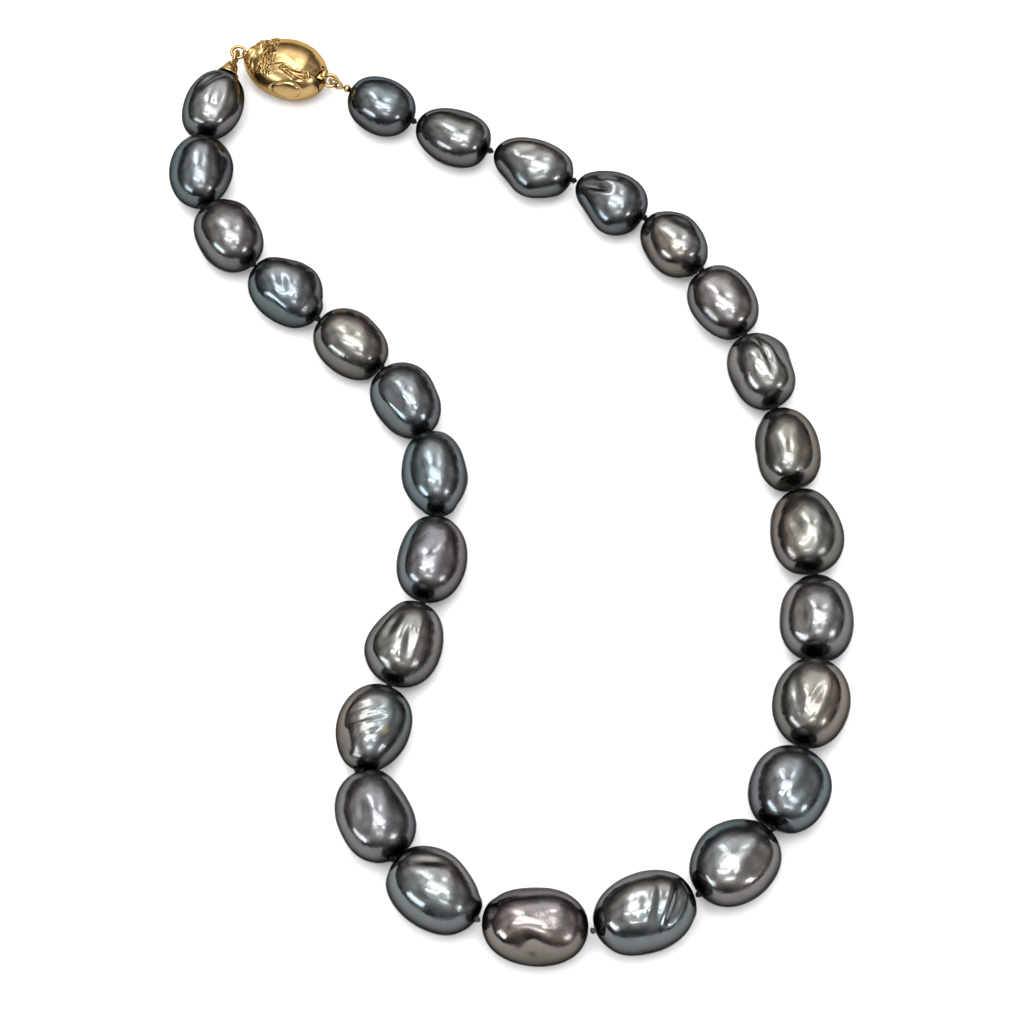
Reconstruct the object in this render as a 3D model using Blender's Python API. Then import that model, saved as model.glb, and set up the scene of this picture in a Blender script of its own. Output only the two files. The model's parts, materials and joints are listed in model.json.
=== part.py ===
"""A graduated strand of baroque pearls on knotted silk, closed by an oval box clasp, lying flat on z = 0.

The strand leaves the clasp in two arms: the first arm from the tongue's eye, the second from the bead cap in the
shell's eye. Every pearl turns about the vertical line through the mouth of its bore that faces the clasp. The two
arms meet at the front of the strand, where one knot belongs to the first arm and the thread of the second arm ends.
"""

import math

import bmesh
import bpy
import numpy as np
from mathutils import Vector

MM = 0.001
SHARP_ANGLE = math.radians(35.0)

# Centre line of the strand seen from above, from the tongue's end to the bead cap (mm).
ROUTE_MM = (
    (-27.0, 80.4),
    (-8.8, 69.8),
    (13.0, 60.6),
    (32.0, 47.0),
    (44.4, 27.0),
    (51.2, 4.0),
    (55.5, -30.0),
    (50.6, -62.0),
    (38.5, -79.5),
    (16.4, -90.0),
    (-12.1, -84.6),
    (-25.8, -61.2),
    (-17.4, -36.7),
    (-10.9, -13.0),
    (-15.7, 13.3),
    (-37.3, 35.0),
    (-54.2, 53.8),
    (-55.4, 71.0),
    (-50.4, 84.2),
)
SHIFT_MM = (-0.45, 1.72)
ROUTE_STEPS = 24

FIRST_ARM = tuple(range(1, 15))
SECOND_ARM = tuple(range(27, 14, -1))

# Pearls in strand order: length along the bore, width, height (mm), taper towards the next pearl, tint, and the
# dents as (along the bore -1..1, degrees round from the loop's outer side through the top, spread, depth in mm).
PEARLS = (
    (13.3, 11.2, 10.9, 0.05, "slate", ((-0.3, 60, 0.6, 0.3),)),
    (14.6, 10.9, 10.8, 0.10, "slate", ((-0.5, 30, 0.6, 0.4),)),
    (15.7, 10.0, 10.6, 0.08, "mauve", ((0.15, 175, 0.55, -1.4), (-0.65, 185, 0.5, 1.1))),
    (14.3, 10.8, 10.9, 0.20, "teal", ((-0.5, 70, 0.4, 0.9), (0.35, 185, 0.5, -0.9), (-0.6, 190, 0.5, 0.8))),
    (14.0, 11.4, 11.4, 0.02, "mauve", ((-0.35, 10, 0.35, -1.1), (-0.5, 170, 0.5, 0.9), (0.6, 15, 0.5, 0.3))),
    (14.6, 12.2, 11.9, 0.00, "taupe", ((0.5, 100, 0.7, 0.3),)),
    (14.8, 12.5, 12.0, 0.03, "silver", ((-0.5, 95, 0.3, 0.6), (0.2, 20, 0.6, 0.3))),
    (15.6, 12.3, 12.2, 0.02, "taupe", ((0.2, 20, 0.6, 0.3),)),
    (16.2, 13.4, 12.7, 0.07, "taupe", ((-0.4, 0, 0.5, 0.4), (-0.3, 180, 0.5, 0.4))),
    (15.8, 13.9, 13.1, 0.04, "silver", ((-0.2, 165, 0.5, 0.7),)),
    (15.7, 13.8, 13.2, -0.02, "taupe", ((-0.2, 100, 0.4, 0.5), (0.6, 20, 0.6, 0.3))),
    (15.3, 14.4, 13.4, -0.05, "slate", ((0.4, 170, 0.6, 0.4),)),
    (16.7, 14.3, 13.6, -0.03, "silver", ((0.2, 90, 0.6, 0.4),)),
    (18.1, 14.1, 13.6, -0.03, "taupe", ((-0.5, 50, 0.4, 0.8), (0.6, 20, 0.6, 0.3))),
    (18.3, 14.4, 13.6, 0.00, "taupe", ((-0.1, 15, 0.5, 1.0), (0.0, 100, 0.6, 0.3))),
    (17.5, 13.9, 13.6, 0.02, "silver", ((0.5, 110, 0.5, 0.5),)),
    (16.9, 13.9, 13.2, -0.05, "slate", ((0.3, 160, 0.6, 0.6),)),
    (16.2, 13.2, 12.9, 0.03, "silver", ((0.0, 110, 0.3, 0.6), (-0.6, 20, 0.5, 0.4))),
    (16.0, 13.6, 12.5, -0.05, "silver", ((0.6, 10, 0.5, 1.1), (-0.5, 5, 0.5, -0.5), (0.0, 60, 0.5, 0.6))),
    (16.2, 12.7, 12.4, -0.03, "teal", ((0.2, 30, 0.6, 0.3),)),
    (15.7, 12.3, 12.0, 0.00, "teal", ((0.0, 170, 0.6, 0.4),)),
    (14.9, 12.2, 11.9, 0.04, "teal", ((-0.2, 10, 0.6, 0.4),)),
    (14.8, 11.9, 11.5, 0.05, "taupe", ((-0.5, 20, 0.6, 0.4),)),
    (15.5, 12.0, 11.4, -0.02, "teal", ((-0.25, 172, 0.45, -0.9), (0.6, 178, 0.5, 0.7), (-0.6, 10, 0.5, 0.4))),
    (14.7, 12.0, 11.6, -0.02, "slate", ((0.4, 80, 0.6, 0.3),)),
    (14.5, 12.1, 11.7, 0.00, "teal", ((-0.6, 30, 0.6, 0.3),)),
    (14.1, 11.6, 11.2, -0.03, "mauve", ((0.5, 60, 0.5, 0.5), (-0.4, 0, 0.6, 0.4))),
)

TINTS = {
    "slate": (0.13, 0.15, 0.16, 1.0),
    "mauve": (0.17, 0.15, 0.17, 1.0),
    "teal": (0.10, 0.15, 0.17, 1.0),
    "taupe": (0.19, 0.17, 0.15, 1.0),
    "silver": (0.20, 0.19, 0.19, 1.0),
}
GOLD = (0.83, 0.61, 0.27, 1.0)
SILK = (0.03, 0.03, 0.035, 1.0)

PEARL_SIDES = 16
PEARL_RINGS = 9
BORE_R = 0.65 * MM
BLUNTNESS = 0.14

THREAD_R = 0.40 * MM
THREAD_INSET = 0.15 * MM
KNOT_R = 0.62 * MM
KNOT_START = 0.12 * MM
KNOT_CLEAR = 0.45 * MM
KNOT_SHOULDERS = (0.25, 0.7)
SILK_SIDES = 8
END_KNOT_R = 0.55 * MM
END_KNOT_LENGTH = 1.0 * MM
END_KNOT_SHOULDERS = (0.8, 0.3)

# The clasp's own frame: x along its length towards the tongue's eye, y across, z up, floor at z = 0.
SHELL_HALF = Vector((8.35, 5.7, 5.2)) * MM
SHELL_CENTRE_Z = 4.6 * MM
SHELL_FULLER_RIGHT = 0.09
SHELL_BLUNTNESS = 0.1
SHELL_POINT = 0.5
SHELL_SEGMENTS = 32
SHELL_RINGS = 16
CAVITY_LOW = Vector((-4.6, -2.4, 3.8)) * MM
CAVITY_HIGH = Vector((12.0, 2.4, 6.0)) * MM
LEAF_SPACE_LOW = Vector((-4.6, -1.6, 5.9)) * MM
LEAF_SPACE_HIGH = Vector((12.0, 1.6, 7.3)) * MM
CLEARANCE = 0.3 * MM

EYE_R = 1.25 * MM
WIRE_R = 0.35 * MM
EYE_SEGMENTS = 20
WIRE_SEGMENTS = 8
EYE_X = 9.38 * MM
EYE_Z = 5.3 * MM

PLATE_X = (-4.2 * MM, 6.4 * MM)
PLATE_HALF_WIDTH = 2.0 * MM
PLATE_Z = (4.2 * MM, 4.65 * MM)
PLUG_START_X = 5.6 * MM
PLUG_HALF_WIDTH = 2.1 * MM
PLUG_Z = (4.1 * MM, 5.7 * MM)

LEAF_PIVOT = Vector((-3.8, 0.0, 5.15)) * MM
LEAF_LENGTH = 12.2 * MM
LEAF_SLOPE_DEG = -8.0
LEAF_HALF_WIDTH = 1.2 * MM
LEAF_THICKNESS = 0.35 * MM
KNOB_R = 0.62 * MM
KNOB_HALF_LENGTH = 0.95 * MM

# The bell's skin and the wall of its hollow as (height above the rim, radius) in mm.
CAP_OUTSIDE_MM = ((0.0, 1.95), (0.4, 1.9), (0.95, 1.35), (1.9, 1.05), (2.7, 0.85), (3.1, 0.4))
CAP_INSIDE_MM = ((1.7, 0.35), (1.4, 0.9), (0.8, 1.2), (0.0, 1.6))
CAP_HEIGHT = CAP_OUTSIDE_MM[-1][0] * MM
CAP_SIDES = 20
CAP_LOOP_SINK = 0.25 * MM
CAP_TO_EYE = CAP_HEIGHT - CAP_LOOP_SINK + WIRE_R + 2 * EYE_R
END_BEAD_R = 0.75 * MM
END_BEAD_GAP = 0.12 * MM
END_BEAD_STEPS = 8
END_BEAD_SIDES = 12
END_BEAD_FLAT = 0.12 * math.pi
GIMP_REACH = 2 * EYE_R + WIRE_R
PEARL_TO_EYE = GIMP_REACH + 2 * END_BEAD_R + 2 * END_BEAD_GAP


def clear_scene():
    for obj in list(bpy.data.objects):
        bpy.data.objects.remove(obj, do_unlink=True)


def material(name, colour, roughness, metallic):
    made = bpy.data.materials.new(name)
    made.use_nodes = True
    shader = made.node_tree.nodes["Principled BSDF"]
    shader.inputs["Base Color"].default_value = colour
    shader.inputs["Roughness"].default_value = roughness
    shader.inputs["Metallic"].default_value = metallic
    return made


def add_object(name, mesh, finish, parent=None):
    made = bpy.data.objects.new(name, mesh)
    mesh.materials.append(finish)
    bpy.context.collection.objects.link(made)
    made.parent = parent
    return made


def add_empty(name, place, heading, parent=None):
    made = bpy.data.objects.new(name, None)
    made.location = place
    made.rotation_euler.z = heading
    bpy.context.collection.objects.link(made)
    made.parent = parent
    return made


def shade(mesh):
    mesh.shade_smooth()
    mesh.set_sharp_from_angle(angle=SHARP_ANGLE)
    return mesh


def mesh_from(name, points, faces):
    mesh = bpy.data.meshes.new(name)
    mesh.from_pydata(points, [], faces)
    return shade(mesh)


def ring_faces(rows, sides, closed):
    """Quads between rings of points, each ring round the +x axis, and back to the first ring if closed."""
    faces = []
    pairs = [(row, row + 1) for row in range(rows - 1)]
    if closed:
        pairs.append((rows - 1, 0))
    for first, second in pairs:
        for side in range(sides):
            after = (side + 1) % sides
            a = first * sides + side
            b = first * sides + after
            c = second * sides + after
            d = second * sides + side
            faces.append((a, b, c, d))
    return faces


def turned(name, profile, sides):
    """A solid turned about the x axis from (x, radius) pairs, with flat ends."""
    points = []
    for x, radius in profile:
        for side in range(sides):
            turn = 2 * math.pi * side / sides
            points.append((x, radius * math.cos(turn), radius * math.sin(turn)))
    faces = ring_faces(len(profile), sides, closed=False)
    faces.append(tuple(reversed(range(sides))))
    last = (len(profile) - 1) * sides
    faces.append(tuple(range(last, last + sides)))
    return mesh_from(name, points, faces)


def route():
    """The centre line as a dense list of points, a smooth curve through the route's own points."""
    shift = np.array(SHIFT_MM)
    points = [np.array(point) + shift for point in ROUTE_MM]
    points = [2 * points[0] - points[1]] + points + [2 * points[-1] - points[-2]]
    line = []
    for before, start, end, after in zip(points, points[1:], points[2:], points[3:]):
        for step in range(ROUTE_STEPS):
            t = step / ROUTE_STEPS
            line.append(
                0.5
                * (
                    2 * start
                    + (end - before) * t
                    + (2 * before - 5 * start + 4 * end - after) * t**2
                    + (3 * start - before - 3 * end + after) * t**3
                )
            )
    line.append(points[-2])
    return np.array(line) * MM


def slots():
    """The ends of each pearl's share of the route: shares in proportion to length, so the knot gaps are even."""
    line = route()
    lengths = np.concatenate([[0], np.cumsum(np.linalg.norm(np.diff(line, axis=0), axis=1))])
    sizes = np.array([pearl[0] for pearl in PEARLS]) * MM
    gap = (lengths[-1] - sizes.sum()) / (len(PEARLS) - 1)
    shares = sizes + gap
    shares[0] -= gap / 2
    shares[-1] -= gap / 2
    ends = np.concatenate([[0], np.cumsum(shares)])
    return np.stack([np.interp(ends, lengths, line[:, axis]) for axis in (0, 1)], axis=1)


def placements():
    """For each pearl: the point at its clasp-side mouth, its outward heading, its length and the gap beyond it."""
    ends = slots()
    last = len(PEARLS)
    found = {}
    for number, pearl in enumerate(PEARLS, 1):
        start, end = ends[number - 1], ends[number]
        along = (end - start) / np.linalg.norm(end - start)
        length = pearl[0] * MM
        middle = (start + end) / 2
        if number == 1:
            middle = start + along * length / 2
        if number == last:
            middle = end - along * length / 2
        outward = along if number in FIRST_ARM else -along
        found[number] = {
            "mouth": middle - outward * length / 2,
            "tip": middle + outward * length / 2,
            "heading": math.atan2(outward[1], outward[0]),
            "length": length,
        }
    for arm in (FIRST_ARM, SECOND_ARM):
        for number, outer in zip(arm, arm[1:]):
            found[number]["gap"] = float(np.linalg.norm(found[outer]["mouth"] - found[number]["tip"]))
    meeting = found[SECOND_ARM[-1]]["tip"] - found[FIRST_ARM[-1]]["tip"]
    found[FIRST_ARM[-1]]["gap"] = float(np.linalg.norm(meeting))
    return found


def pearl_surface(number, directions):
    """Points of a pearl's skin for unit directions, x outward along the bore, y to the arm's left, z up."""
    length, width, height, taper, _, dents = PEARLS[number - 1]
    side = 1 if number in FIRST_ARM else -1
    across = np.maximum(np.hypot(directions[:, 1], directions[:, 2]), 0.01)
    swell = (1 + taper * side * directions[:, 0]) * across**-BLUNTNESS
    half = np.array([length, width, height]) * MM / 2
    points = directions * half
    points[:, 1:] *= swell[:, None]
    scale = np.ones(len(directions))
    for along, around, spread, depth in dents:
        turn = math.radians(around)
        flat = math.sqrt(1 - along**2)
        centre = np.array([side * along, side * flat * math.cos(turn), flat * math.sin(turn)])
        away = np.linalg.norm(directions - centre, axis=1)
        scale -= depth * MM / half[2] * np.exp(-((away / spread) ** 2))
    points[:, 1:] *= scale[:, None]
    return points


def pearl_mesh(number):
    """A pearl as rings from mouth to mouth, closed by the wall of its bore, and its lowest z."""
    length, width, height = (size * MM for size in PEARLS[number - 1][:3])
    mouth_angle = math.asin(2 * BORE_R / min(width, height))
    points = []
    for ring in range(PEARL_RINGS + 1):
        angle = mouth_angle + (math.pi - 2 * mouth_angle) * ring / PEARL_RINGS
        turns = 2 * math.pi * np.arange(PEARL_SIDES) / PEARL_SIDES
        directions = np.stack(
            [
                np.full(PEARL_SIDES, -math.cos(angle)),
                math.sin(angle) * np.cos(turns),
                math.sin(angle) * np.sin(turns),
            ],
            axis=1,
        )
        skin = pearl_surface(number, directions)
        if ring in (0, PEARL_RINGS):
            skin[:, 1] = BORE_R * np.cos(turns)
            skin[:, 2] = BORE_R * np.sin(turns)
        points.extend(skin)
    points = np.array(points)
    points[:, 0] += length / 2
    faces = ring_faces(PEARL_RINGS + 1, PEARL_SIDES, closed=True)
    return mesh_from(f"pearl_{number:02d}", points.tolist(), faces), float(points[:, 2].min())


def silk_mesh(number, length, gap):
    """The thread through one pearl with the knot beyond it. The last pearl of the second arm has no knot."""
    start = THREAD_INSET
    profile = []
    if number == SECOND_ARM[0]:
        profile.append((-END_KNOT_LENGTH - KNOT_START, THREAD_R))
        profile.extend((-END_KNOT_LENGTH * share, END_KNOT_R) for share in END_KNOT_SHOULDERS)
        profile.append((-KNOT_START, THREAD_R))
    else:
        profile.append((start, THREAD_R))
    if number == SECOND_ARM[-1]:
        profile.append((length - start, THREAD_R))
    else:
        knot_end = gap - KNOT_CLEAR
        if number == FIRST_ARM[-1]:
            knot_end = gap - CLEARANCE
        profile.append((length + KNOT_START / 2, THREAD_R))
        for share in KNOT_SHOULDERS:
            profile.append((length + KNOT_START + (knot_end - KNOT_START) * share, KNOT_R))
        profile.append((length + knot_end, THREAD_R))
    return turned(f"silk_{number:02d}", profile, SILK_SIDES)


def build_strand(places, gold_parts):
    """Each pearl and its silk, on an empty at the pearl's clasp-side mouth, facing outward along the strand."""
    silk = material("silk", SILK, 0.7, 0.0)
    holders = {}
    for number, place in sorted(places.items()):
        mesh, lowest = pearl_mesh(number)
        axis_z = -lowest
        where = (place["mouth"][0], place["mouth"][1], axis_z)
        holders[number] = add_empty(f"turn_{number:02d}", where, place["heading"])
        nacre = material(f"nacre_{number:02d}", TINTS[PEARLS[number - 1][4]], 0.2, 0.75)
        add_object(f"pearl_{number:02d}", mesh, nacre, holders[number])
        thread = silk_mesh(number, place["length"], place.get("gap", 0.0))
        add_object(f"silk_{number:02d}", thread, silk, holders[number])
    build_gimp(holders[FIRST_ARM[0]], gold_parts)
    build_cap(holders[SECOND_ARM[0]], gold_parts)


def torus_mesh(name, centre, ring_r, wire_r, upright):
    """A closed wire ring, lying flat about z, or upright in the x-z plane about y."""
    points = []
    faces = []
    for major in range(EYE_SEGMENTS):
        turn = 2 * math.pi * major / EYE_SEGMENTS
        for minor in range(WIRE_SEGMENTS):
            lean = 2 * math.pi * minor / WIRE_SEGMENTS
            reach = ring_r + wire_r * math.cos(lean)
            rise = wire_r * math.sin(lean)
            spot = Vector((reach * math.cos(turn), reach * math.sin(turn), rise))
            if upright:
                spot = Vector((spot.x, -spot.z, spot.y))
            points.append(spot + centre)
            after = (major + 1) % EYE_SEGMENTS
            beside = (minor + 1) % WIRE_SEGMENTS
            a = major * WIRE_SEGMENTS + minor
            b = after * WIRE_SEGMENTS + minor
            c = after * WIRE_SEGMENTS + beside
            d = major * WIRE_SEGMENTS + beside
            faces.append((a, b, c, d))
    return mesh_from(name, points, faces)


def box_mesh(name, low, high):
    points = [(x, y, z) for x in (low[0], high[0]) for y in (low[1], high[1]) for z in (low[2], high[2])]
    faces = [(0, 1, 3, 2), (4, 6, 7, 5), (0, 4, 5, 1), (2, 3, 7, 6), (0, 2, 6, 4), (1, 5, 7, 3)]
    return mesh_from(name, points, faces)


def oval_mesh(name):
    """The clasp's oval body, blunt and fuller towards the tongue's eye, and pointed at the shell's eye."""
    mesh = bpy.data.meshes.new(name)
    solid = bmesh.new()
    bmesh.ops.create_uvsphere(solid, u_segments=SHELL_SEGMENTS, v_segments=SHELL_RINGS, radius=1.0)
    for vertex in solid.verts:
        x, y, z = vertex.co
        across = max(math.hypot(y, z), 0.01)
        pointed = SHELL_POINT * max(0.0, -x) ** 2
        fuller = (1 + SHELL_FULLER_RIGHT * x) * across ** (pointed - SHELL_BLUNTNESS)
        vertex.co = Vector((x * SHELL_HALF.x, y * SHELL_HALF.y * fuller, z * SHELL_HALF.z * fuller))
        vertex.co.z += SHELL_CENTRE_Z
    solid.to_mesh(mesh)
    solid.free()
    return shade(mesh)


def add_cutter(name, mesh, parent):
    made = bpy.data.objects.new(name, mesh)
    bpy.context.collection.objects.link(made)
    made.parent = parent
    made.hide_render = True
    made.display_type = "WIRE"
    return made


def boolean(target, operation, other):
    modifier = target.modifiers.new(f"{operation.lower()} {other.name}", "BOOLEAN")
    modifier.operation = operation
    modifier.object = other
    modifier.solver = "EXACT"
    return modifier


def build_shell(holder, gold):
    shell = add_object("clasp_shell", oval_mesh("clasp_shell"), gold, holder)
    reach = 2 * SHELL_HALF.x
    below = box_mesh("cut_below", (-reach, -reach, -reach), (reach, reach, 0.0))
    cavity = box_mesh("cut_cavity", CAVITY_LOW, CAVITY_HIGH)
    leaf_space = box_mesh("cut_leaf_space", LEAF_SPACE_LOW, LEAF_SPACE_HIGH)
    eye = torus_mesh("add_shell_eye", Vector((-EYE_X, 0.0, EYE_Z)), EYE_R, WIRE_R, upright=False)
    boolean(shell, "DIFFERENCE", add_cutter("cut_below", below, holder))
    boolean(shell, "DIFFERENCE", add_cutter("cut_cavity", cavity, holder))
    boolean(shell, "DIFFERENCE", add_cutter("cut_leaf_space", leaf_space, holder))
    boolean(shell, "UNION", add_cutter("add_shell_eye", eye, holder))


def build_tongue(holder, gold):
    plug = add_object("clasp_tongue", oval_mesh("clasp_tongue"), gold, holder)
    high_x = SHELL_HALF.x + EYE_R
    space = box_mesh(
        "keep_plug",
        (PLUG_START_X, -PLUG_HALF_WIDTH, PLUG_Z[0]),
        (high_x, PLUG_HALF_WIDTH, PLUG_Z[1]),
    )
    plate = box_mesh(
        "add_plate",
        (PLATE_X[0], -PLATE_HALF_WIDTH, PLATE_Z[0]),
        (PLATE_X[1], PLATE_HALF_WIDTH, PLATE_Z[1]),
    )
    eye = torus_mesh("add_tongue_eye", Vector((EYE_X, 0.0, EYE_Z)), EYE_R, WIRE_R, upright=False)
    boolean(plug, "INTERSECT", add_cutter("keep_plug", space, holder))
    boolean(plug, "UNION", add_cutter("add_plate", plate, holder))
    boolean(plug, "UNION", add_cutter("add_tongue_eye", eye, holder))


def build_spring(holder, gold):
    """The leaf rises from its fold over the plate; the trigger's bar lies across its end, outside the mouth."""
    pivot = add_empty("press_tongue_spring", LEAF_PIVOT, 0.0, holder)
    pivot.rotation_euler.y = math.radians(LEAF_SLOPE_DEG)
    half = LEAF_THICKNESS / 2
    leaf = box_mesh("tongue_spring", (0.0, -LEAF_HALF_WIDTH, -half), (LEAF_LENGTH, LEAF_HALF_WIDTH, half))
    spring = add_object("tongue_spring", leaf, gold, pivot)
    bar = bpy.data.meshes.new("add_trigger")
    solid = bmesh.new()
    bmesh.ops.create_cone(
        solid,
        cap_ends=True,
        segments=12,
        radius1=KNOB_R,
        radius2=KNOB_R,
        depth=2 * KNOB_HALF_LENGTH,
    )
    for vertex in solid.verts:
        x, y, z = vertex.co
        vertex.co = Vector((x + LEAF_LENGTH, z, -y + half))
    solid.to_mesh(bar)
    solid.free()
    boolean(spring, "UNION", add_cutter("add_trigger", bar, pivot))


def build_gimp(holder, gold):
    """The loop through the tongue's eye and the small bead between it and the first pearl."""
    centre = Vector((-PEARL_TO_EYE + EYE_R, 0.0, EYE_Z - holder.location.z))
    loop = torus_mesh("gimp_loop", centre, EYE_R, WIRE_R, upright=True)
    add_object("gimp_loop", loop, gold, holder)
    middle = -END_BEAD_GAP - END_BEAD_R
    profile = []
    for step in range(END_BEAD_STEPS + 1):
        angle = END_BEAD_FLAT + (math.pi - 2 * END_BEAD_FLAT) * step / END_BEAD_STEPS
        profile.append((middle - END_BEAD_R * math.cos(angle), END_BEAD_R * math.sin(angle)))
    bead = turned("end_bead", profile, END_BEAD_SIDES)
    add_object("end_bead", bead, gold, holder)


def build_cap(holder, gold):
    """The bell over the last pearl's mouth, open towards the pearl, with its loop in the shell's eye."""
    turn = add_empty("turn_cap", (0.0, 0.0, 0.0), 0.0, holder)
    points = []
    rows = [(-height * MM, radius * MM) for height, radius in CAP_OUTSIDE_MM + CAP_INSIDE_MM]
    for x, radius in rows:
        for side in range(CAP_SIDES):
            angle = 2 * math.pi * side / CAP_SIDES
            points.append((x, radius * math.cos(angle), radius * math.sin(angle)))
    faces = [face[::-1] for face in ring_faces(len(rows), CAP_SIDES, closed=True)]
    top = (len(CAP_OUTSIDE_MM) - 1) * CAP_SIDES
    between = set(range(top, top + 2 * CAP_SIDES))
    faces = [face for face in faces if not set(face) <= between]
    faces.append(tuple(reversed(range(top, top + CAP_SIDES))))
    inside = len(CAP_OUTSIDE_MM) * CAP_SIDES
    faces.append(tuple(range(inside, inside + CAP_SIDES)))
    cap = add_object("bead_cap", mesh_from("bead_cap", points, faces), gold, turn)
    drop = EYE_Z - holder.location.z
    loop = torus_mesh("add_cap_loop", Vector((-CAP_TO_EYE + EYE_R, 0.0, drop)), EYE_R, WIRE_R, upright=True)
    boolean(cap, "UNION", add_cutter("add_cap_loop", loop, turn))


def eye_point(place, reach):
    """The centre of the clasp's eye that holds the arm starting at this pearl."""
    heading = place["heading"]
    return place["mouth"] - reach * np.array([math.cos(heading), math.sin(heading)])


def build_clasp(places, gold):
    """The clasp lies on the line between the eyes that the two arms hang from."""
    shell_eye = eye_point(places[SECOND_ARM[0]], CAP_TO_EYE)
    tongue_eye = eye_point(places[FIRST_ARM[0]], PEARL_TO_EYE)
    x, y = (shell_eye + tongue_eye) / 2
    heading = math.atan2(*(tongue_eye - shell_eye)[::-1])
    holder = add_empty("clasp", (x, y, 0.0), heading)
    slide = add_empty("slide_tongue", (0.0, 0.0, 0.0), 0.0, holder)
    build_shell(holder, gold)
    build_tongue(slide, gold)
    build_spring(slide, gold)


def main():
    clear_scene()
    gold = material("gold", GOLD, 0.16, 1.0)
    places = placements()
    build_strand(places, gold)
    build_clasp(places, gold)


main()
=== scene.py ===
"""Looks for the pearl strand: nacre, silk, gold, floor, light and camera, built round the CAD frame."""

import json
import math

import bmesh
import bpy
import numpy as np
from mathutils import Matrix, Vector
from mathutils.bvhtree import BVHTree


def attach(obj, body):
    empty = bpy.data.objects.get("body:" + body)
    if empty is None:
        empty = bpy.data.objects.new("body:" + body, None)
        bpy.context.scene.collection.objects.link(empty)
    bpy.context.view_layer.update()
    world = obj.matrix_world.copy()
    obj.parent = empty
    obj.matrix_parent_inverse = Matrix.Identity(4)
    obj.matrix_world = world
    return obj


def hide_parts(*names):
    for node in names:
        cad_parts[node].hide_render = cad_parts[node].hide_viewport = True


MM = 0.001
PER_METRE_IN_MM = 1000

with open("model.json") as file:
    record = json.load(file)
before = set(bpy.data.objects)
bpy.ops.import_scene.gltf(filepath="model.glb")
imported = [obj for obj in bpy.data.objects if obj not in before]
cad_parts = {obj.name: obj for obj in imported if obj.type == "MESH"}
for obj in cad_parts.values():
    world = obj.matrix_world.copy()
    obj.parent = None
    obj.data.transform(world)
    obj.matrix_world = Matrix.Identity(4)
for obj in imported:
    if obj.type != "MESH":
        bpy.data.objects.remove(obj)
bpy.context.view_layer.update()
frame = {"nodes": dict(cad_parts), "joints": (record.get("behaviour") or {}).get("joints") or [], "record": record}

# Pearls from the clasp's tongue to the strand's middle, and from the bead cap to it. The loop is opened
# between the two arms' last pearls, so neither's silk is drawn on.
FIRST_ARM = tuple(range(1, 15))
SECOND_ARM = tuple(range(27, 14, -1))
FREE_ENDS = (FIRST_ARM[-1], SECOND_ARM[-1])
HINGES = [joint for joint in frame["joints"] if "pos_m" in joint]
JOINT_PLACES = {joint["name"]: joint["pos_m"] for joint in HINGES}
KNOT_PLACES = {
    int(name[-2:]): place for name, place in JOINT_PLACES.items() if name.startswith("knot_")
}

# ---- pearls
BORE_R = 0.66 * MM
ROWS = 72
SIDES = 96
# How far the CAD skin's facets are blurred, in rows and in sides.
SMOOTH_ROWS = 3.2
SMOOTH_SIDES = 3.6
# A mouth's opening as a share of the bore, and its rows as (mm inward of the rim, share of the bore).
MOUTH_FLARE = 1.3
MOUTH_ROWS = ((0.03, 1.12), (0.12, 1.02), (0.3, 1.0))
# Waves and grooves fade out between these places along the bore, as shares of the way from middle to mouth.
MOUTH_FADE = (0.86, 0.97)
# Where rays toward a pearl's middle start, in metres: outside any pearl.
RAY_START = 0.05

# Nacre: colour of the body and of its overtone, both as seen in reflections of white.
BODIES = {
    "slate": (0.140, 0.144, 0.152),
    "teal": (0.112, 0.139, 0.149),
    "mauve": (0.154, 0.142, 0.150),
    "taupe": (0.174, 0.154, 0.138),
    "silver": (0.172, 0.166, 0.161),
    "green": (0.134, 0.148, 0.138),
    "gold": (0.480, 0.330, 0.110),
}

# Pearl number: body tint, overtone tint, side of the overtone in degrees round the bore. 90 is the top.
TINTS = {
    1: ("slate", "teal", 60),
    2: ("green", "mauve", 200),
    3: ("silver", "teal", 200),
    4: ("slate", "teal", 200),
    5: ("taupe", "teal", 0),
    6: ("silver", "mauve", 200),
    7: ("silver", "green", 0),
    8: ("taupe", "green", 180),
    9: ("taupe", "green", 20),
    10: ("silver", "slate", 20),
    11: ("taupe", "green", 180),
    12: ("slate", "teal", 0),
    13: ("silver", "teal", 180),
    14: ("silver", "teal", 0),
    15: ("taupe", "mauve", 20),
    16: ("silver", "teal", 180),
    17: ("slate", "mauve", 200),
    18: ("taupe", "teal", 20),
    19: ("silver", "green", 180),
    20: ("mauve", "teal", 180),
    21: ("teal", "slate", 0),
    22: ("slate", "teal", 180),
    23: ("taupe", "green", 180),
    24: ("teal", "mauve", 0),
    25: ("mauve", "green", 180),
    26: ("teal", "mauve", 0),
    27: ("silver", "teal", 180),
}

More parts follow.
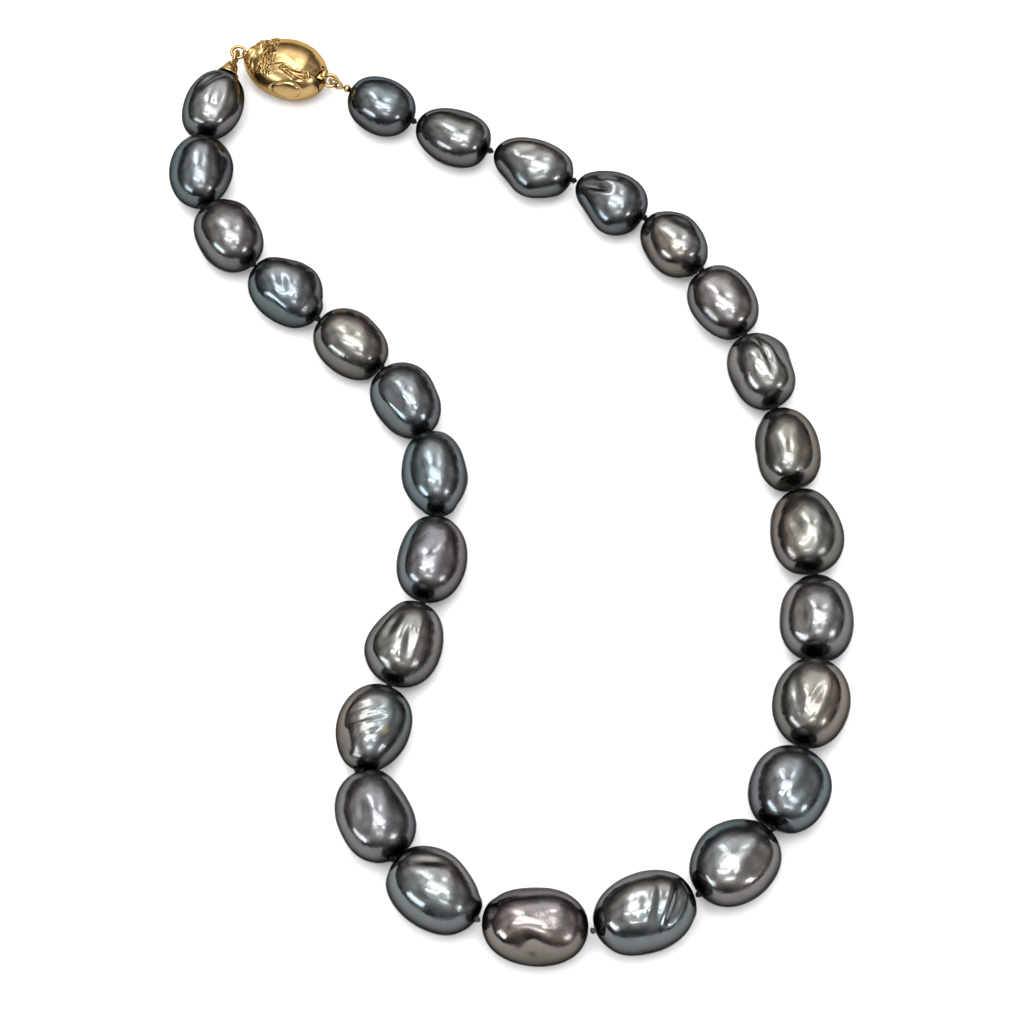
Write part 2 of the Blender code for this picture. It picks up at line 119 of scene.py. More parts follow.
# Grooves drawn in a pearl's skin: from and to as (along the bore, degrees round from the outer side
# through the top), width as a share of the radius, depth in mm. Depth below zero is a ridge.
GROOVES = {
    3: (((-0.6, 100), (0.1, 80), 0.22, 0.3),),
    4: (((-0.8, 112), (0.0, 100), 0.12, 0.8), ((-0.5, 82), (0.25, 78), 0.15, -0.35)),
    5: (((-0.5, 70), (0.3, 60), 0.2, 0.3),),
    7: (((-0.65, 84), (0.5, 80), 0.075, 0.6), ((-0.5, 68), (0.5, 66), 0.14, -0.22)),
    9: (((-0.3, 120), (0.6, 100), 0.22, 0.3),),
    10: (((-0.2, 115), (0.7, 120), 0.2, 0.35),),
    11: (((-0.4, 125), (0.7, 105), 0.14, 0.32), ((-0.2, 75), (0.6, 95), 0.12, 0.25)),
    12: (((-0.1, 60), (0.7, 80), 0.2, 0.25),),
    13: (((-0.6, 60), (0.2, 50), 0.2, 0.3),),
    14: (
        ((-0.78, 100), (-0.35, 45), 0.12, 0.55),
        ((-0.5, 115), (-0.05, 55), 0.14, 0.45),
        ((0.1, 100), (0.4, 60), 0.16, 0.25),
    ),
    15: (((-0.3, 22), (0.3, 22), 0.34, 0.62), ((-0.6, 75), (0.1, 95), 0.25, 0.2)),
    16: (((0.0, 120), (0.7, 90), 0.14, 0.35),),
    17: (((-0.6, 60), (0.3, 75), 0.2, 0.35),),
    18: (
        ((-0.35, 50), (0.2, 110), 0.11, 0.38),
        ((-0.6, 72), (-0.1, 112), 0.12, 0.25),
        ((-0.1, 50), (0.45, 95), 0.12, 0.22),
    ),
    19: (((-0.7, 110), (0.5, 95), 0.16, 0.45), ((-0.5, 60), (0.6, 70), 0.18, 0.35)),
    22: (((-0.5, 65), (0.4, 60), 0.18, 0.3),),
    24: (((-0.5, 60), (0.4, 100), 0.2, 0.35),),
    27: (((0.1, 60), (0.8, 95), 0.15, 0.45), ((-0.6, 110), (0.3, 100), 0.18, 0.25)),
}

# A groove fades toward both ends: the share of a half wave left out at each end, and how steep the fade is.
GROOVE_END = 0.08
GROOVE_FADE = 0.8

# Waves in the skin: how many, their least and greatest width as a share of the radius, and depth in mm.
WAVES = ((9, 0.4, 0.75, 0.60), (8, 0.25, 0.4, 0.16))
WAVE_SEED = 20

# Pearl number: where its small gold fleck sits, as (along the bore, degrees round), and its size in mm.
GOLD_FLECKS = {14: ((-0.72, 90), 1.3), 18: ((-0.25, 123), 1.2)}
FLECK_REACH = 6.8 * MM
FLECK_NOISE = (700.0, 3.0, 1.0)
# The fleck's colour fades between these shares of its size, from this share to none.
FLECK_FROM, FLECK_TO, FLECK_SHARE = 0.9, 1.6, 0.85

# Noise as (scale per metre, detail, distortion). A fade is (from, to, share at from, share at to).
CLOUD_NOISE = (160.0, 4.0, 0.6)
STREAK_NOISE = (420.0, 6.0, 1.2)
FINE_NOISE = (1500.0, 5.0, 0.4)
BROAD_NOISE = (270.0, 4.0, 1.0)
BROAD_SHARE = 4.0
CLOUD_LEAN = 9.0
OVERTONE_FADE = (1.0, 9.0, 0.0, 1.0)
STREAK_FADE = (0.35, 0.7, 0.0, 0.5)
STREAK_TONE = 0.72
# Painted shade: a darker tone stands in for the shaded floor that a pearl's underside reflects. It is full at the
# pearl's middle and below, and gone from this height over it.
PAINTED_SHADE_FADE = (0.0, 4.6 * MM, 0.92, 0.0)
PAINTED_SHADE_TONE = 0.3
NACRE_ROUGHNESS = (0.34, 0.66, 0.11, 0.29)
NACRE_BUMP = (0.4, 0.04 * MM)
NACRE = {
    "Metallic": 1.0,
    "Specular Tint": (0.26, 0.26, 0.26, 1.0),
    "Coat Weight": 0.08,
    "Coat Roughness": 0.05,
    "Coat IOR": 1.53,
}


def new_material(name):
    made = bpy.data.materials.new(name)
    made.use_nodes = True
    return made, made.node_tree.nodes, made.node_tree.links, made.node_tree.nodes["Principled BSDF"]


def set_values(node, values):
    for name, value in values.items():
        node.inputs[name].default_value = value


def add_bump(nodes, links, shader, height, strength, distance):
    bump = nodes.new("ShaderNodeBump")
    set_values(bump, {"Strength": strength, "Distance": distance})
    links.new(height, bump.inputs["Height"])
    links.new(bump.outputs["Normal"], shader.inputs["Normal"])


def put(name, data):
    """A new object with this data, in the scene."""
    made = bpy.data.objects.new(name, data)
    bpy.context.collection.objects.link(made)
    return made


def ramp(nodes, stops):
    """A colour ramp from (place, colour) stops."""
    made = nodes.new("ShaderNodeValToRGB")
    band = made.color_ramp.elements
    while len(band) < len(stops):
        band.new(0.5)
    for element, (place, colour) in zip(band, stops):
        element.position = place
        element.color = (*colour, 1.0)
    return made


def noise(nodes, links, vector, scale, detail, distortion):
    made = nodes.new("ShaderNodeTexNoise")
    set_values(made, {"Scale": scale, "Detail": detail, "Distortion": distortion})
    links.new(vector, made.inputs["Vector"])
    return made.outputs["Fac"]


def remap(nodes, links, value, low, high, to_low, to_high):
    made = nodes.new("ShaderNodeMapRange")
    set_values(made, {"From Min": low, "From Max": high, "To Min": to_low, "To Max": to_high})
    links.new(value, made.inputs["Value"])
    return made.outputs["Result"]


def mix_colours(nodes, links, factor, first, second):
    """Mixes two colours; each is a socket or an (r, g, b) tuple."""
    made = nodes.new("ShaderNodeMix")
    made.data_type = "RGBA"
    links.new(factor, made.inputs["Factor"])
    for socket, value in (("A", first), ("B", second)):
        port = [p for p in made.inputs if p.name == socket and p.type == "RGBA"][0]
        if isinstance(value, tuple):
            port.default_value = (*value, 1.0)
        else:
            links.new(value, port)
    return [p for p in made.outputs if p.type == "RGBA"][0]


def math_node(nodes, links, operation, *values):
    made = nodes.new("ShaderNodeMath")
    made.operation = operation
    for port, value in zip(made.inputs, values):
        if isinstance(value, (int, float)):
            port.default_value = value
        else:
            links.new(value, port)
    return made.outputs["Value"]


def scaled(colour, share):
    return tuple(channel * share for channel in colour)


def vector_node(nodes, links, operation, vector, value):
    """A vector operation between a socket and a constant vector."""
    made = nodes.new("ShaderNodeVectorMath")
    made.operation = operation
    made.inputs[1].default_value = value
    links.new(vector, made.inputs[0])
    return made.outputs


def nacre_colour(nodes, links, local, clouds, number, outward):
    """A body tint with an overtone on one side, darker streaks, painted shade toward its underside and any gold
    fleck.
    """
    body, over, around = TINTS[number]
    up = Vector((0.0, 0.0, 1.0))
    turn = math.radians(around)
    toward = up.cross(outward) * math.cos(turn) + up * math.sin(turn)
    facing = vector_node(nodes, links, "DOT_PRODUCT", local, toward * PER_METRE_IN_MM)["Value"]
    lean = math_node(nodes, links, "MULTIPLY_ADD", clouds, CLOUD_LEAN, facing)
    share = remap(nodes, links, lean, *OVERTONE_FADE)
    tinted = mix_colours(nodes, links, share, BODIES[body], BODIES[over])
    streaks = noise(nodes, links, local, *STREAK_NOISE)
    depth = remap(nodes, links, streaks, *STREAK_FADE)
    final = mix_colours(nodes, links, depth, tinted, scaled(BODIES[body], STREAK_TONE))
    # Painted shade: the colour darkens toward the pearl's underside, by height.
    height = nodes.new("ShaderNodeSeparateXYZ")
    links.new(local, height.inputs["Vector"])
    low = remap(nodes, links, height.outputs["Z"], *PAINTED_SHADE_FADE)
    final = mix_colours(nodes, links, low, final, scaled(BODIES[body], PAINTED_SHADE_TONE))
    if number in GOLD_FLECKS:
        final = gold_fleck(nodes, links, local, final, number, outward)
    return final


def nacre(number, centre, outward):
    """Dark mirror-like nacre whose gloss varies in clouds."""
    made, nodes, links, shader = new_material(f"nacre_{number:02d}")
    place = nodes.new("ShaderNodeTexCoord").outputs["Object"]
    local = vector_node(nodes, links, "SUBTRACT", place, centre)["Vector"]
    clouds = noise(nodes, links, local, *CLOUD_NOISE)
    final = nacre_colour(nodes, links, local, clouds, number, outward)
    links.new(final, shader.inputs["Base Color"])
    links.new(remap(nodes, links, clouds, *NACRE_ROUGHNESS), shader.inputs["Roughness"])
    set_values(shader, NACRE)
    fine = noise(nodes, links, local, *FINE_NOISE)
    broad = noise(nodes, links, local, *BROAD_NOISE)
    relief = math_node(nodes, links, "MULTIPLY_ADD", broad, BROAD_SHARE, fine)
    add_bump(nodes, links, shader, relief, *NACRE_BUMP)
    return made


def arm_side(number):
    """1 on the first arm and -1 on the second, whose bores are given the other way along."""
    return 1 if number in FIRST_ARM else -1


def skin_direction(along, around, side):
    """A unit direction in a pearl's frame: x outward along the bore, y to the left, z up."""
    turn = math.radians(around)
    flat = math.sqrt(max(0.0, 1 - along**2))
    return Vector((side * along, side * flat * math.cos(turn), flat * math.sin(turn)))


def gold_fleck(nodes, links, local, colour, number, outward):
    (along, around), size = GOLD_FLECKS[number]
    spot = pearl_axes(outward) @ skin_direction(along, around, arm_side(number))
    away = vector_node(nodes, links, "DISTANCE", local, spot * FLECK_REACH)["Value"]
    wobble = noise(nodes, links, local, *FLECK_NOISE)
    lean = math_node(nodes, links, "MULTIPLY_ADD", wobble, size * MM, away)
    near = remap(nodes, links, lean, size * MM * FLECK_FROM, size * MM * FLECK_TO, FLECK_SHARE, 0.0)
    return mix_colours(nodes, links, near, colour, BODIES["gold"])


def pearl_axes(outward):
    """Columns are a pearl's own x, y and z axes in the world."""
    up = Vector((0.0, 0.0, 1.0))
    left = up.cross(outward)
    return Matrix((outward, left, up)).transposed()


def mesh_points(mesh):
    points = np.empty(len(mesh.vertices) * 3)
    mesh.vertices.foreach_get("co", points)
    return points.reshape(-1, 3)


def node_points(node):
    """The points of a CAD node, which lies at rest in the world's own frame."""
    return mesh_points(frame["nodes"][node].data)


def box_middle(points):
    return (points.min(0) + points.max(0)) / 2


def level_spread(points):
    """The level direction along which points spread most. It isn't of unit length."""
    _, _, lines = np.linalg.svd(points - points.mean(0), full_matrices=False)
    return np.array([lines[0][0], lines[0][1], 0.0])


def axis_middle(points):
    """A point on a silk's axis."""
    return np.array([*points.mean(0)[:2], (points[:, 2].min() + points[:, 2].max()) / 2])


def strand_axis(number):
    """A pearl's middle on its bore, the bore's outward direction (read from its silk), and half its length."""
    thread = node_points(f"silk_{number:02d}")
    outward = Vector(level_spread(thread)).normalized()
    skin = node_points(f"pearl_{number:02d}")
    middle = Vector(box_middle(skin))
    # pearl_01 has no knot on its clasp side, so it is measured from the one beyond it.
    if (middle - Vector(KNOT_PLACES[max(number, 2)])).dot(outward) < 0:
        outward.negate()
    if number == 1:
        outward.negate()
    reach = (skin - np.array(middle)) @ np.array(outward)
    on_axis = Vector(axis_middle(thread))
    along = (middle - on_axis).dot(outward) + (reach.min() + reach.max()) / 2
    return on_axis + outward * along, outward, (reach.max() - reach.min()) / 2


def blurred(field, rows, sides):
    """A Gaussian blur of a (row, side) field: mirrored past the poles, wrapped round the sides."""
    for axis, spread, mode in ((0, rows, "edge"), (1, sides, "wrap")):
        reach = int(3 * spread)
        weights = np.exp(-0.5 * (np.arange(-reach, reach + 1) / spread) ** 2)
        weights /= weights.sum()
        width = [(0, 0), (0, 0)]
        width[axis] = (reach, reach)
        padded = np.pad(field, width, mode=mode)
        field = np.apply_along_axis(lambda line: np.convolve(line, weights, "valid"), axis, padded)
    return field


def radial_field(number, centre, axes, directions):
    """Distance from a pearl's middle to its CAD skin in each direction."""
    solid = bmesh.new()
    solid.from_mesh(frame["nodes"][f"pearl_{number:02d}"].data)
    tree = BVHTree.FromBMesh(solid)
    found = np.zeros(directions.shape[:2])
    for row in range(directions.shape[0]):
        for side in range(directions.shape[1]):
            ray = axes @ Vector(directions[row, side].tolist())
            hit = tree.ray_cast(centre + ray * RAY_START, -ray)
            found[row, side] = (hit[0] - centre).length
    solid.free()
    return found


def arc_distance(directions, start, end):
    """Each unit direction's distance from the arc between two others, and its share of the way along it."""
    begin, finish = np.array(start), np.array(end)
    line = finish - begin
    share = np.clip(((directions - begin) @ line) / (line @ line), 0.0, 1.0)
    nearest = begin + share[..., None] * line
    nearest /= np.linalg.norm(nearest, axis=-1, keepdims=True)
    return np.linalg.norm(directions - nearest, axis=-1), share


def mouth_fade(directions):
    """1 over the skin, falling to 0 at both mouths of the bore."""
    return 1 - smooth_step(np.abs(directions[..., 0]), *MOUTH_FADE)


def add_grooves(number, field, directions):
    side = arm_side(number)
    whole = mouth_fade(directions)
    for start, end, width, depth in GROOVES.get(number, ()):
        ends = (skin_direction(*place, side) for place in (start, end))
        away, share = arc_distance(directions, *ends)
        part = np.clip(GROOVE_END + (1 - 2 * GROOVE_END) * share, 0, 1)
        fade = np.sin(np.pi * part) ** GROOVE_FADE
        field = field - depth * MM * fade * whole * np.exp(-((away / width) ** 2))
    return field


def add_waves(number, field, directions):
    """Low, wide undulations that every baroque pearl has."""
    chance = np.random.default_rng(WAVE_SEED + number)
    whole = mouth_fade(directions)
    for count, low, high, depth in WAVES:
        for _ in range(count):
            spot = chance.normal(size=3)
            spot /= np.linalg.norm(spot)
            away = np.linalg.norm(directions - spot, axis=-1)
            width = chance.uniform(low, high)
            height = chance.uniform(-1, 1) * depth * MM
            field = field + height * whole * np.exp(-((away / width) ** 2))
    return field


def pearl_directions(mouth):
    """Unit directions in rows about the bore, from mouth to mouth, and the turns round each row."""
    turns = 2 * math.pi * np.arange(SIDES) / SIDES
    angles = mouth + (math.pi - 2 * mouth) * np.arange(ROWS + 1) / ROWS
    rows = []
    for angle in angles:
        row = [
            np.full(SIDES, -math.cos(angle)),
            math.sin(angle) * np.cos(turns),
            math.sin(angle) * np.sin(turns),
        ]
        rows.append(np.stack(row, axis=1))
    return np.array(rows), turns


def mouth_rows(points, turns, inward):
    """Rows that round a mouth's rim over and lead into the bore; inward is +1 or -1 along x."""
    rim = points[:, 0].mean()
    rows = []
    for step, share in MOUTH_ROWS:
        x = np.full(SIDES, rim + inward * step * MM)
        radius = share * BORE_R
        rows.append(np.stack([x, radius * np.cos(turns), radius * np.sin(turns)], axis=1))
    return rows


def fitted_spans(field, smooth, directions):
    """Scales along x, y and z that give the smoothed skin the CAD skin's extents again."""
    rough = directions * field[..., None]
    soft = directions * smooth[..., None]
    return (np.ptp(rough, axis=(0, 1)) / np.ptp(soft, axis=(0, 1))).reshape(3)


def ring_faces(rings, turns, closed):
    """Quads between rings of points. A closed skin joins its last ring to its first."""
    faces = []
    for ring in range(rings if closed else rings - 1):
        here, after = ring * turns, (ring + 1) % rings * turns
        for turn in range(turns):
            beside = (turn + 1) % turns
            faces.append((here + turn, here + beside, after + beside, after + turn))
    return faces


def pearl_points(number, centre, outward, half_length):
    """Rows of points over a pearl's skin and a little way into its bore, in the world."""
    axes = pearl_axes(outward)
    mouth = math.asin(BORE_R * MOUTH_FLARE / half_length)
    directions, turns = pearl_directions(mouth)
    field = radial_field(number, centre, axes, directions)
    smooth = blurred(field, SMOOTH_ROWS, SMOOTH_SIDES)
    spans = fitted_spans(field, smooth, directions)
    field = add_waves(number, smooth, directions)
    field = add_grooves(number, field, directions)
    points = directions * field[..., None] * spans
    start_rows = mouth_rows(points[0], turns, 1)
    end_rows = mouth_rows(points[-1], turns, -1)
    grid = np.concatenate([np.array(start_rows[::-1]), points, np.array(end_rows)])
    return grid @ np.array(axes).T + np.array(centre)


def stood_on_floor(points, middle):
    """The points, stretched up and down about the height of a middle so that the lowest is at z = 0."""
    lowest = points[..., 2].min()
    points[..., 2] = middle + (points[..., 2] - middle) * middle / (middle - lowest)
    return points


def build_pearl(number):
    """A smooth drilled pearl of the CAD pearl's shape, with its waves and grooves."""
    centre, outward, half_length = strand_axis(number)
    grid = stood_on_floor(pearl_points(number, centre, outward, half_length), centre[2])
    mesh = bpy.data.meshes.new(f"skin_{number:02d}")
    mesh.from_pydata(grid.reshape(-1, 3).tolist(), [], ring_faces(len(grid), SIDES, closed=True))
    mesh.shade_smooth()
    made = put(f"skin_{number:02d}", mesh)
    mesh.materials.append(nacre(number, centre, outward))
    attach(made, body_of_node(f"pearl_{number:02d}"))
    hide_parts(f"pearl_{number:02d}")


def body_of_node(node):
    for body, nodes in frame["record"]["behaviour"]["bodies"].items():
        if node in nodes:
            return body
    raise KeyError(node)


# ---- clasp
# The clasp's own frame: x from the shell's eye to the tongue's eye, y across, z up, floor at z = 0. Boxes are
# (low corner, high corner) in mm.
SHELL_HALF = np.array([8.35, 5.7, 5.2]) * MM
SHELL_CENTRE_Z = 4.6 * MM
SHELL_FULLER_RIGHT = 0.09
SHELL_BLUNTNESS = 0.1
SHELL_POINT = 0.5
SHELL_TURNS = 420
SHELL_RINGS = 260
SHELL_SHARP = 55.0
BELOW_FLOOR = ((-20, -20, -20), (20, 20, 0.0))
MOUTH_BOXES = (
    ((-4.6, -2.4, 3.8), (12.0, 2.4, 6.0)),
    ((-4.6, -1.6, 5.9), (12.0, 1.6, 7.3)),
)
EYE_X = 9.38 * MM
EYE_Z = 5.3 * MM
EYE_R = 1.25 * MM
WIRE_R = 0.35 * MM
RING_STEPS = (72, 28)
# The collar between the shell and its eye, as (mm past the shell's end, radius in mm).
COLLAR = ((-0.25, 0.05), (-0.2, 0.5), (0.2, 0.75), (0.7, 0.8), (0.9, 0.05))
COLLAR_DROP = 0.1 * MM
COLLAR_STEPS = 28
PLUG_TURNS = 200
PLUG_RINGS = 120
PLUG_BOX = ((5.6, -2.1, 4.1), (9.6, 2.1, 5.7))
PLATE_BOX = ((-4.2, -2.0, 4.2), (6.4, 2.0, 4.65))
PLATE_EDGE_R = 0.14 * MM
LEAF_PIVOT = np.array([-3.8, 0.0, 5.15]) * MM
LEAF_LENGTH = 12.2 * MM
LEAF_SLOPE = math.radians(-8.0)
LEAF_HALF_WIDTH = 1.2 * MM
LEAF_THICKNESS = 0.35 * MM
LEAF_EDGE_R = 0.1 * MM
KNOB_R = 0.62 * MM
KNOB_HALF_LENGTH = 0.95 * MM
KNOB_STEPS = 32
# Half of the trigger bar, from its end inward, as shares of its half length and radius.
KNOB_END = ((1.0, 0.05), (0.97, 0.5), (0.86, 0.85), (0.68, 1.0))

# Chisel marks: seed, count, low and high (along, across) in mm, (mean, spread) of their lean in degrees, and the
# ranges of half length and half width in mm. A cut is (height of the marks, height of the ground) in mm.
ACROSS_MARKS = (5, 80, (-8.4, -4.6), (-0.8, 5.4), (86, 20), (0.8, 1.9), (0.28, 0.48))
ACROSS_CUT = (0.72, -0.3)
ALONG_MARKS = (8, 48, (-4.0, -4.2), (8.3, -0.4), (-12, 32), (0.6, 1.5), (0.26, 0.44))
ALONG_CUT = (0.62, -0.22)
MARK_FALL_ALONG, MARK_FALL_BESIDE = 2.5, 1.3
MARK_HEIGHTS = (0.55, 1.0)
# The reliefs fade in over these heights in mm.
TOP_FADE = (5.6, 7.4)
# The band's wave across the shell, and its turn outward past a place along it.
BAND_MIDDLE, BAND_SWING, BAND_RATE, BAND_PHASE = -2.85, 0.35, 1.1, 0.4
BAND_TURN, BAND_TURN_FROM = 0.1, 3.0
BAND_FADE = (0.45, 0.9)
# Where the chiselled third ends along the shell, and how that line slants.
THIRD_END, THIRD_SLANT, THIRD_SLANT_FROM = -0.9, 0.15, -2
THIRD_SIDE_FADE = (-4.4, -3.4)
# The raised lobe, and its fades from the band, from the chiselled third and toward the mouth.
LOBE_HEIGHT = 0.22
LOBE_BAND_FADE, LOBE_START_FADE, LOBE_END_FADE = (0.5, 2.2), (-2.2, 0.8), (4.6, 6.6)
# The drop on the near side: middle and half size as (mm along, degrees round), taper, line and dish.
DROP_MIDDLE, DROP_HALF = (2.3, 13), (2.8, 30)
DROP_GIRTH, DROP_TAPER = 0.78, 0.22
DROP_LINE_DEPTH, DROP_LINE_WIDTH = 0.2, 0.09
DROP_DISH_DEPTH, DROP_DISH_FADE = 0.12, (0.2, 1.0)
DROP_SIDE_FADE = (1.0, 2.5)
# The engraved line round the foot: depth, height and width in mm.
FOOT_LINE_DEPTH, FOOT_LINE_UP, FOOT_LINE_WIDTH = 0.16, 1.75, 0.13

# Gold: tint, noise as for nacre, and fades as for nacre.
GOLD_TINT = (0.40, 0.272, 0.120)
GOLD = {"Metallic": 1.0, "Specular Tint": (0.62, 0.5, 0.34, 1.0)}
TARNISH_NOISE = (350.0, 4.0, 0.5)
TARNISH_FADE = (0.35, 0.7, 0.0, 0.55)
TARNISH_TONE = 0.8
HOLLOW_FADE = (0.40, 0.495)
HOLLOW_TONE = 0.16
WEAR_NOISE = (900.0, 3.0, 0.0)
WEAR_FADE = (0.3, 0.7)
WEAR = 0.09
SCRATCH_NOISE = (2600.0, 4.0, 0.3)
CAST_NOISE = (500.0, 2.0, 0.4)
CAST_SHARE = 3.0
GOLD_BUMP = (0.3, 0.02 * MM)
# Each gold's roughness, and how dark its hollows are.
POLISHED = (0.19, 0.9)
PLAIN = (0.14, 0.5)

# The gimp loop's steps round and across, how deep the wire's coils are cut, and how many there are.
GIMP_STEPS = (260, 20)
GIMP_COIL = {"coil": 0.28, "coils": 46}
# The end bead's mouths (half angle), steps, and the start of its bore.
BEAD_MOUTH = 0.32
BEAD_STEPS = 32
BEAD_SIDES = 48
BEAD_BORE_R = 0.12 * MM
BEAD_BORE_INSET = 0.25 * MM

# The bell cap's wall as (mm up from the rim, radius in mm), and its hammer dents as for the chisel marks.
CAP_RIM = ((0.0, 1.82), (0.06, 2.1), (0.3, 2.14), (0.44, 2.0), (0.55, 1.9))
CAP_OUTSIDE = (*CAP_RIM, (0.95, 1.68), (1.9, 1.3), (2.7, 0.98), (3.1, 0.4))
CAP_INSIDE = ((0.0, 1.62), (0.8, 1.2), (1.4, 0.9), (1.7, 0.35))
CAP_OUTSIDE_STEPS, CAP_INSIDE_STEPS = 6, 5
CAP_SIDES = 64
CAP_MEAN_R = 1.3
CAP_LEAST_R = 0.05 * MM
CAP_DENTS = (9, 70, (0.5, -4.2), (3.0, 4.2), (62, 30), (0.3, 0.6), (0.2, 0.36))
CAP_HAMMERED = (0.55, 2.9)
CAP_DENT_GROUND, CAP_DENT_HEIGHT = 0.4, 0.2
SMALL_SHARP = 40.0
CAP_SHARP = 50.0
GIMP_SHARP = 60.0


SHELL_EYE = Vector(JOINT_PLACES["cap_swing"])
TONGUE_EYE = Vector(JOINT_PLACES["gimp_swing"])
CLASP_MIDDLE = (SHELL_EYE + TONGUE_EYE) / 2
CLASP_ALONG = (TONGUE_EYE - SHELL_EYE).normalized()


def clasp_place(points):
    """Points of the clasp's frame in the world."""
    axes = np.array(pearl_axes(CLASP_ALONG))
    middle = np.array([CLASP_MIDDLE.x, CLASP_MIDDLE.y, 0.0])
    return points @ axes.T + middle


def oval_skin(directions):
    """The oval's skin for unit directions, in the clasp's frame."""
    x = directions[..., 0]
    across = np.maximum(np.hypot(directions[..., 1], directions[..., 2]), 0.01)
    pointed = SHELL_POINT * np.maximum(0.0, -x) ** 2
    fuller = (1 + SHELL_FULLER_RIGHT * x) * across ** (pointed - SHELL_BLUNTNESS)
    points = directions * SHELL_HALF
    points[..., 1:] *= fuller[..., None]
    points[..., 2] += SHELL_CENTRE_Z
    return points


def smooth_step(value, low, high):
    """0 below low, 1 above high, and a smooth rise between."""
    share = np.clip((value - low) / (high - low), 0.0, 1.0)
    return share * share * (3 - 2 * share)


def chips(points, seed, count, low, high, lean, lengths, widths):
    """Chisel marks: the height, up to 1, of the tallest ridge over each point of (along, across)."""
    chance = np.random.default_rng(seed)
    height = np.zeros(len(points))
    for _ in range(count):
        spot = np.array([chance.uniform(a, b) for a, b in zip(low, high)])
        turn = math.radians(chance.normal(*lean))
        away = points - spot
        along = away[:, 0] * math.cos(turn) + away[:, 1] * math.sin(turn)
        beside = away[:, 1] * math.cos(turn) - away[:, 0] * math.sin(turn)
        long, wide = chance.uniform(*lengths), chance.uniform(*widths)
        ridge = 1 - np.abs(along / long) ** MARK_FALL_ALONG - np.abs(beside / wide) ** MARK_FALL_BESIDE
        height = np.maximum(height, ridge * chance.uniform(*MARK_HEIGHTS))
    return height


def band_line(along):
    """Where the wavy band lies across the shell."""
    wave = BAND_MIDDLE + BAND_SWING * np.sin(along * BAND_RATE + BAND_PHASE)
    return wave + BAND_TURN * np.maximum(0.0, along - BAND_TURN_FROM) ** 2


def third_share(along, across):
    """1 on the chiselled third by the shell's eye."""
    past = -along + THIRD_END - THIRD_SLANT * (across - THIRD_SLANT_FROM)
    return smooth_step(past, 0.0, 1.0) * smooth_step(across, *THIRD_SIDE_FADE)


def band_share(along, across):
    """1 on the wavy band."""
    return 1 - smooth_step(np.abs(across - band_line(along)), *BAND_FADE)


def chiselled(along, across, top):
    """Height in mm of the chiselled third and band."""
    flat = np.stack([along, across], axis=1)
    third = third_share(along, across) * top
    band = band_share(along, across) * top
    height, ground = ACROSS_CUT
    relief = third * (height * chips(flat, *ACROSS_MARKS) + ground)
    height, ground = ALONG_CUT
    return np.where(band > third, band * (height * chips(flat, *ALONG_MARKS) + ground), relief)


def lobe(along, across):
    """Height in mm of the raised lobe between the band, the chiselled third and the mouth."""
    inner = smooth_step(across - band_line(along), *LOBE_BAND_FADE) * smooth_step(along, *LOBE_START_FADE)
    return LOBE_HEIGHT * inner * (1 - smooth_step(along, *LOBE_END_FADE))


def drop(along, across, up):
    """Depth in mm of the drop's line, and of the dish inside it."""
    half_up, half_across = SHELL_HALF[2] / MM, SHELL_HALF[1] / MM
    around = np.degrees(np.arctan2((up - SHELL_CENTRE_Z / MM) / half_up, -across / half_across))
    ahead = (along - DROP_MIDDLE[0]) / DROP_HALF[0]
    girth = DROP_GIRTH + DROP_TAPER * np.clip(ahead, -1, 1)
    away = np.hypot(ahead, (around - DROP_MIDDLE[1]) / DROP_HALF[1] / girth)
    side = smooth_step(-across, *DROP_SIDE_FADE)
    line = DROP_LINE_DEPTH * np.exp(-(((away - 1) / DROP_LINE_WIDTH) ** 2)) * side
    return line, DROP_DISH_DEPTH * (1 - smooth_step(away, *DROP_DISH_FADE)) * side


def shell_relief(points):
    """Height in metres to raise the oval's skin by, along its normal."""
    along, across, up = (points[:, axis] / MM for axis in range(3))
    top = smooth_step(up, *TOP_FADE)
    relief = chiselled(along, across, top) + lobe(along, across) * top
    for depth in drop(along, across, up):
        relief -= depth
    relief -= FOOT_LINE_DEPTH * np.exp(-(((up - FOOT_LINE_UP) / FOOT_LINE_WIDTH) ** 2))
    return relief * MM


def oval_directions(turns, rings):
    """Unit directions ringed about x, from the pointed end to the blunt end."""
    around = 2 * math.pi * np.arange(turns) / turns
    polar = math.pi * (np.arange(rings) + 0.5) / rings
    grid = np.zeros((rings, turns, 3))
    grid[..., 0] = -np.cos(polar)[:, None]
    grid[..., 1] = np.sin(polar)[:, None] * np.cos(around)
    grid[..., 2] = np.sin(polar)[:, None] * np.sin(around)
    return grid


def grid_faces(rings, turns):
    """Quads between rings of points, with a cap over the first and the last ring."""
    first = tuple(reversed(range(turns)))
    last = tuple((rings - 1) * turns + turn for turn in range(turns))
    return [*ring_faces(rings, turns, closed=False), first, last]


def mesh_of(name, points, faces):
    """A mesh whose faces all look outward."""
    mesh = bpy.data.meshes.new(name)
    mesh.from_pydata(np.asarray(points).tolist(), [], faces)
    solid = bmesh.new()
    solid.from_mesh(mesh)
    bmesh.ops.recalc_face_normals(solid, faces=solid.faces)
    solid.to_mesh(mesh)
    solid.free()
    return mesh


def oval_mesh(name, turns, rings, relief):
    grid = oval_skin(oval_directions(turns, rings)).reshape(-1, 3)
    if relief:
        normal = (grid - np.array([0.0, 0.0, SHELL_CENTRE_Z])) / SHELL_HALF**2
        normal /= np.linalg.norm(normal, axis=1, keepdims=True)
        grid = grid + normal * shell_relief(grid)[:, None]
    return mesh_of(name, grid, grid_faces(rings, turns))


def box_mesh(name, low, high):
    xs, ys, zs = zip(low, high)
    points = [(x, y, z) for x in xs for y in ys for z in zs]
    faces = [(0, 1, 3, 2), (4, 6, 7, 5), (0, 4, 5, 1), (2, 3, 7, 6), (0, 2, 6, 4), (1, 5, 7, 3)]
    return mesh_of(name, np.array(points) * MM, faces)


